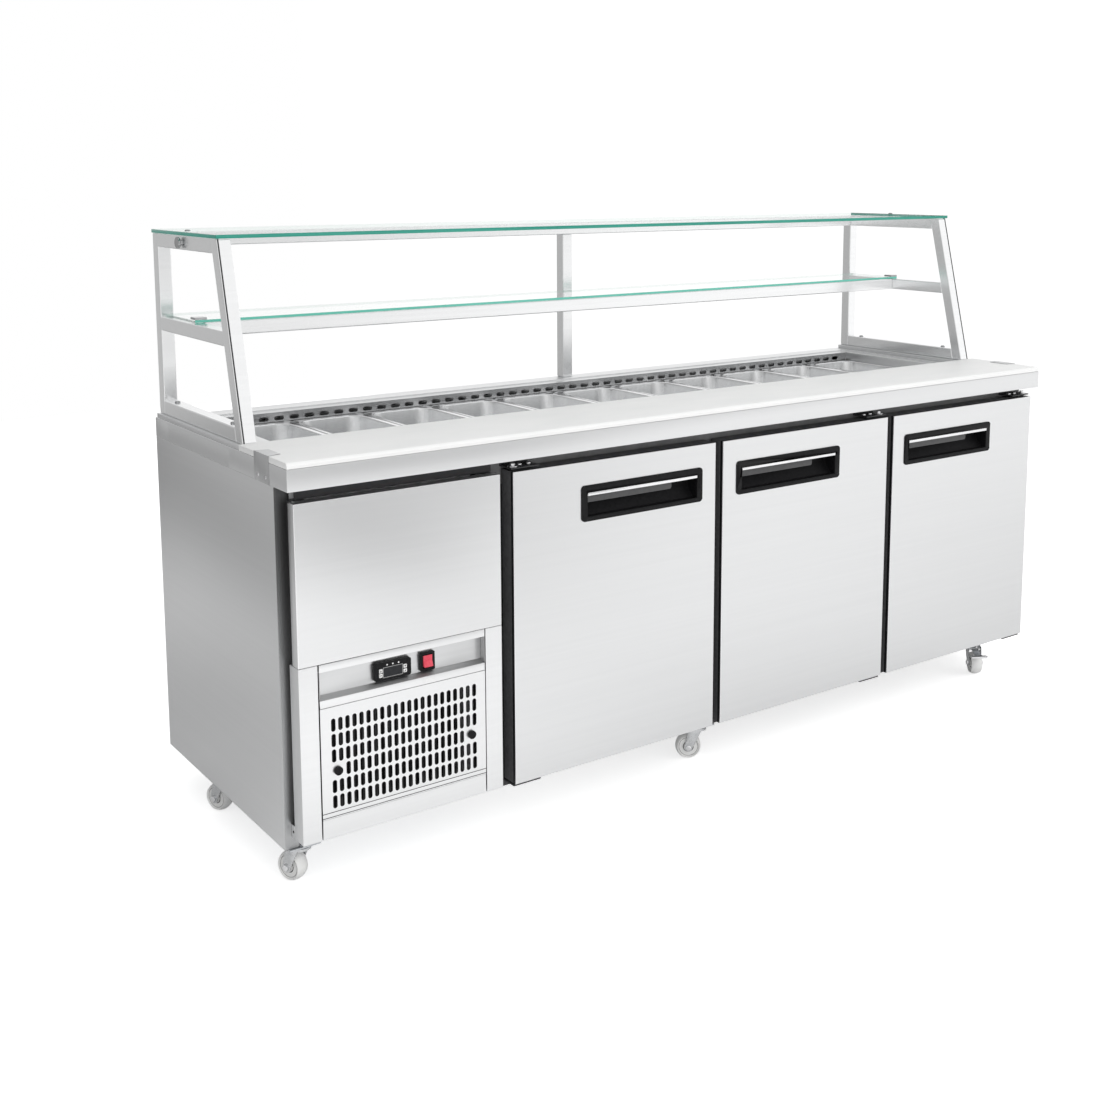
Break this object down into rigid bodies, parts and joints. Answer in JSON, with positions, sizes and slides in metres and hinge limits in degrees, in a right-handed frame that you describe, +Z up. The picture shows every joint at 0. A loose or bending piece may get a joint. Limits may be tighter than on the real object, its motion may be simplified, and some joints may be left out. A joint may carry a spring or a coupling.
{
  "type": "refrigerated sandwich prep counter",
  "caption": "Wheeled stainless prep counter with a cold pan well, full-length cutting board, glass gantry, insulated doors and a side-mounted cooling bay behind a slotted grille.",
  "frame": {"origin": "on the floor under the middle of the overall box", "axes": "+X along the counter to the right as seen from the doors, +Y to the rear, +Z up"},
  "size_m": [2.18, 0.7, 1.255],
  "materials": {
    "stainless_steel": "satin",
    "insulated_panel": "satin",
    "galvanised_steel": "satin",
    "dark_steel": "satin",
    "zinc_plate": "satin",
    "light_alloy": "satin",
    "coated_wire": "gloss",
    "shelf_glass": "polished",
    "white_board": "matte",
    "white_nylon": "satin",
    "white_plastic": "matte",
    "black_plastic": "satin",
    "grey_key": "matte",
    "red_key": "gloss"
  },
  "bodies": {
    "counter": {"worktop": "stainless_steel", "board_clips": "stainless_steel", "air_duct": "stainless_steel", "pan_dividers": "stainless_steel", "gantry_frame": "stainless_steel", "top_glass": "shelf_glass", "shelf_glass": "shelf_glass", "left_side_panel": "stainless_steel", "insulated_shell": "insulated_panel", "chassis": "galvanised_steel", "upper_front_panel": "stainless_steel", "bay_surround": "stainless_steel", "control_panel": "stainless_steel", "vent_grille": "stainless_steel", "controller": "black_plastic", "switch_bezel": "black_plastic", "hinge_brackets": "dark_steel", "condensing_unit": "light_alloy", "evaporator": "white_plastic", "wire_shelves": "coated_wire"},
    "board": {"cutting_board": "white_board"},
    "pan_1": {"pan_1": "stainless_steel"},
    "pan_2": {"pan_2": "stainless_steel"},
    "pan_3": {"pan_3": "stainless_steel"},
    "pan_4": {"pan_4": "stainless_steel"},
    "pan_5": {"pan_5": "stainless_steel"},
    "pan_6": {"pan_6": "stainless_steel"},
    "pan_7": {"pan_7": "stainless_steel"},
    "pan_8": {"pan_8": "stainless_steel"},
    "pan_9": {"pan_9": "stainless_steel"},
    "pan_10": {"pan_10": "stainless_steel"},
    "pan_11": {"pan_11": "stainless_steel"},
    "door_1": {"door_1": "insulated_panel", "door_1_handle": "black_plastic"},
    "door_2": {"door_2": "insulated_panel", "door_2_handle": "black_plastic"},
    "door_3": {"door_3": "insulated_panel", "door_3_handle": "black_plastic"},
    "caster_1_fork": {"caster_1_fork": "zinc_plate"},
    "caster_1_wheel": {"caster_1_wheel": "white_nylon"},
    "caster_2_fork": {"caster_2_fork": "zinc_plate"},
    "caster_2_wheel": {"caster_2_wheel": "white_nylon"},
    "caster_3_fork": {"caster_3_fork": "zinc_plate"},
    "caster_3_wheel": {"caster_3_wheel": "white_nylon"},
    "caster_3_pedal": {"caster_3_pedal": "zinc_plate"},
    "caster_4_fork": {"caster_4_fork": "zinc_plate"},
    "caster_4_wheel": {"caster_4_wheel": "white_nylon"},
    "caster_5_fork": {"caster_5_fork": "zinc_plate"},
    "caster_5_wheel": {"caster_5_wheel": "white_nylon"},
    "caster_6_fork": {"caster_6_fork": "zinc_plate"},
    "caster_6_wheel": {"caster_6_wheel": "white_nylon"},
    "button_1": {"button_1": "grey_key"},
    "button_2": {"button_2": "grey_key"},
    "button_3": {"button_3": "grey_key"},
    "button_4": {"button_4": "grey_key"},
    "switch_rocker": {"switch_rocker": "red_key"},
    "condenser_fan": {"condenser_fan": "light_alloy"},
    "evaporator_fan": {"evaporator_fan": "white_plastic"}
  },
  "joints": [
    {"name": "board_slide", "type": "slide", "parent": "counter", "child": "board", "axis": [0, -1, 0], "range_m": [0, 0.22]},
    {"name": "pan_1_lift", "type": "slide", "parent": "counter", "child": "pan_1", "axis": [0, 0, 1], "range_m": [0, 0.16]},
    {"name": "pan_2_lift", "type": "slide", "parent": "counter", "child": "pan_2", "axis": [0, 0, 1], "range_m": [0, 0.16]},
    {"name": "pan_3_lift", "type": "slide", "parent": "counter", "child": "pan_3", "axis": [0, 0, 1], "range_m": [0, 0.16]},
    {"name": "pan_4_lift", "type": "slide", "parent": "counter", "child": "pan_4", "axis": [0, 0, 1], "range_m": [0, 0.16]},
    {"name": "pan_5_lift", "type": "slide", "parent": "counter", "child": "pan_5", "axis": [0, 0, 1], "range_m": [0, 0.16]},
    {"name": "pan_6_lift", "type": "slide", "parent": "counter", "child": "pan_6", "axis": [0, 0, 1], "range_m": [0, 0.16]},
    {"name": "pan_7_lift", "type": "slide", "parent": "counter", "child": "pan_7", "axis": [0, 0, 1], "range_m": [0, 0.16]},
    {"name": "pan_8_lift", "type": "slide", "parent": "counter", "child": "pan_8", "axis": [0, 0, 1], "range_m": [0, 0.16]},
    {"name": "pan_9_lift", "type": "slide", "parent": "counter", "child": "pan_9", "axis": [0, 0, 1], "range_m": [0, 0.16]},
    {"name": "pan_10_lift", "type": "slide", "parent": "counter", "child": "pan_10", "axis": [0, 0, 1], "range_m": [0, 0.16]},
    {"name": "pan_11_lift", "type": "slide", "parent": "counter", "child": "pan_11", "axis": [0, 0, 1], "range_m": [0, 0.16]},
    {"name": "door_1_hinge", "type": "hinge", "parent": "counter", "child": "door_1", "pos_m": [-0.585, -0.32, 0.438], "axis": [0, 0, -1], "range_deg": [0, 100]},
    {"name": "door_2_hinge", "type": "hinge", "parent": "counter", "child": "door_2", "pos_m": [0.49433, -0.32, 0.438], "axis": [0, 0, 1], "range_deg": [0, 100]},
    {"name": "door_3_hinge", "type": "hinge", "parent": "counter", "child": "door_3", "pos_m": [1.057, -0.32, 0.438], "axis": [0, 0, 1], "range_deg": [0, 100]},
    {"name": "caster_1_swivel", "type": "hinge", "parent": "counter", "child": "caster_1_fork", "pos_m": [-1.048, -0.268, 0.07], "axis": [0, 0, 1], "continuous": true},
    {"name": "caster_1_roll", "type": "hinge", "parent": "caster_1_fork", "child": "caster_1_wheel", "pos_m": [-1.05624, -0.2476, 0.03], "axis": [-0.9272, -0.3746, 0], "continuous": true},
    {"name": "caster_2_swivel", "type": "hinge", "parent": "counter", "child": "caster_2_fork", "pos_m": [-0.04, -0.268, 0.07], "axis": [0, 0, 1], "continuous": true},
    {"name": "caster_2_roll", "type": "hinge", "parent": "caster_2_fork", "child": "caster_2_wheel", "pos_m": [-0.05802, -0.25538, 0.03], "axis": [-0.5736, -0.8192, 0], "continuous": true},
    {"name": "caster_3_swivel", "type": "hinge", "parent": "counter", "child": "caster_3_fork", "pos_m": [0.958, -0.268, 0.07], "axis": [0, 0, 1], "continuous": true},
    {"name": "caster_3_roll", "type": "hinge", "parent": "caster_3_fork", "child": "caster_3_wheel", "pos_m": [0.94538, -0.28602, 0.03], "axis": [0.8192, -0.5736, 0], "continuous": true},
    {"name": "caster_3_brake", "type": "hinge", "parent": "caster_3_fork", "child": "caster_3_pedal", "pos_m": [0.94768, -0.28275, 0.067], "axis": [0.8192, -0.5736, 0], "range_deg": [0, 6]},
    {"name": "caster_4_swivel", "type": "hinge", "parent": "counter", "child": "caster_4_fork", "pos_m": [-1.048, 0.112, 0.07], "axis": [0, 0, 1], "continuous": true},
    {"name": "caster_4_roll", "type": "hinge", "parent": "caster_4_fork", "child": "caster_4_wheel", "pos_m": [-1.05624, 0.1324, 0.03], "axis": [-0.9272, -0.3746, 0], "continuous": true},
    {"name": "caster_5_swivel", "type": "hinge", "parent": "counter", "child": "caster_5_fork", "pos_m": [-0.04, 0.112, 0.07], "axis": [0, 0, 1], "continuous": true},
    {"name": "caster_5_roll", "type": "hinge", "parent": "caster_5_fork", "child": "caster_5_wheel", "pos_m": [-0.05905, 0.123, 0.03], "axis": [-0.5, -0.866, 0], "continuous": true},
    {"name": "caster_6_swivel", "type": "hinge", "parent": "counter", "child": "caster_6_fork", "pos_m": [0.958, 0.112, 0.07], "axis": [0, 0, 1], "continuous": true},
    {"name": "caster_6_roll", "type": "hinge", "parent": "caster_6_fork", "child": "caster_6_wheel", "pos_m": [0.95418, 0.13367, 0.03], "axis": [-0.9848, -0.1736, 0], "continuous": true},
    {"name": "button_1_press", "type": "slide", "parent": "counter", "child": "button_1", "axis": [0, 1, 0], "range_m": [0, 0.0005], "stiffness_N_per_m": 500, "springref_m": -0.001},
    {"name": "button_2_press", "type": "slide", "parent": "counter", "child": "button_2", "axis": [0, 1, 0], "range_m": [0, 0.0005], "stiffness_N_per_m": 500, "springref_m": -0.001},
    {"name": "button_3_press", "type": "slide", "parent": "counter", "child": "button_3", "axis": [0, 1, 0], "range_m": [0, 0.0005], "stiffness_N_per_m": 500, "springref_m": -0.001},
    {"name": "button_4_press", "type": "slide", "parent": "counter", "child": "button_4", "axis": [0, 1, 0], "range_m": [0, 0.0005], "stiffness_N_per_m": 500, "springref_m": -0.001},
    {"name": "switch_rock", "type": "hinge", "parent": "counter", "child": "switch_rocker", "pos_m": [-0.796, -0.329, 0.413], "axis": [1, 0, 0], "range_deg": [0, 20]},
    {"name": "condenser_fan_spin", "type": "hinge", "parent": "counter", "child": "condenser_fan", "pos_m": [-0.851, -0.178, 0.234], "axis": [0, 1, 0], "continuous": true},
    {"name": "evaporator_fan_spin", "type": "hinge", "parent": "counter", "child": "evaporator_fan", "pos_m": [-0.473, 0.08, 0.44], "axis": [1, 0, 0], "continuous": true}
  ]
}
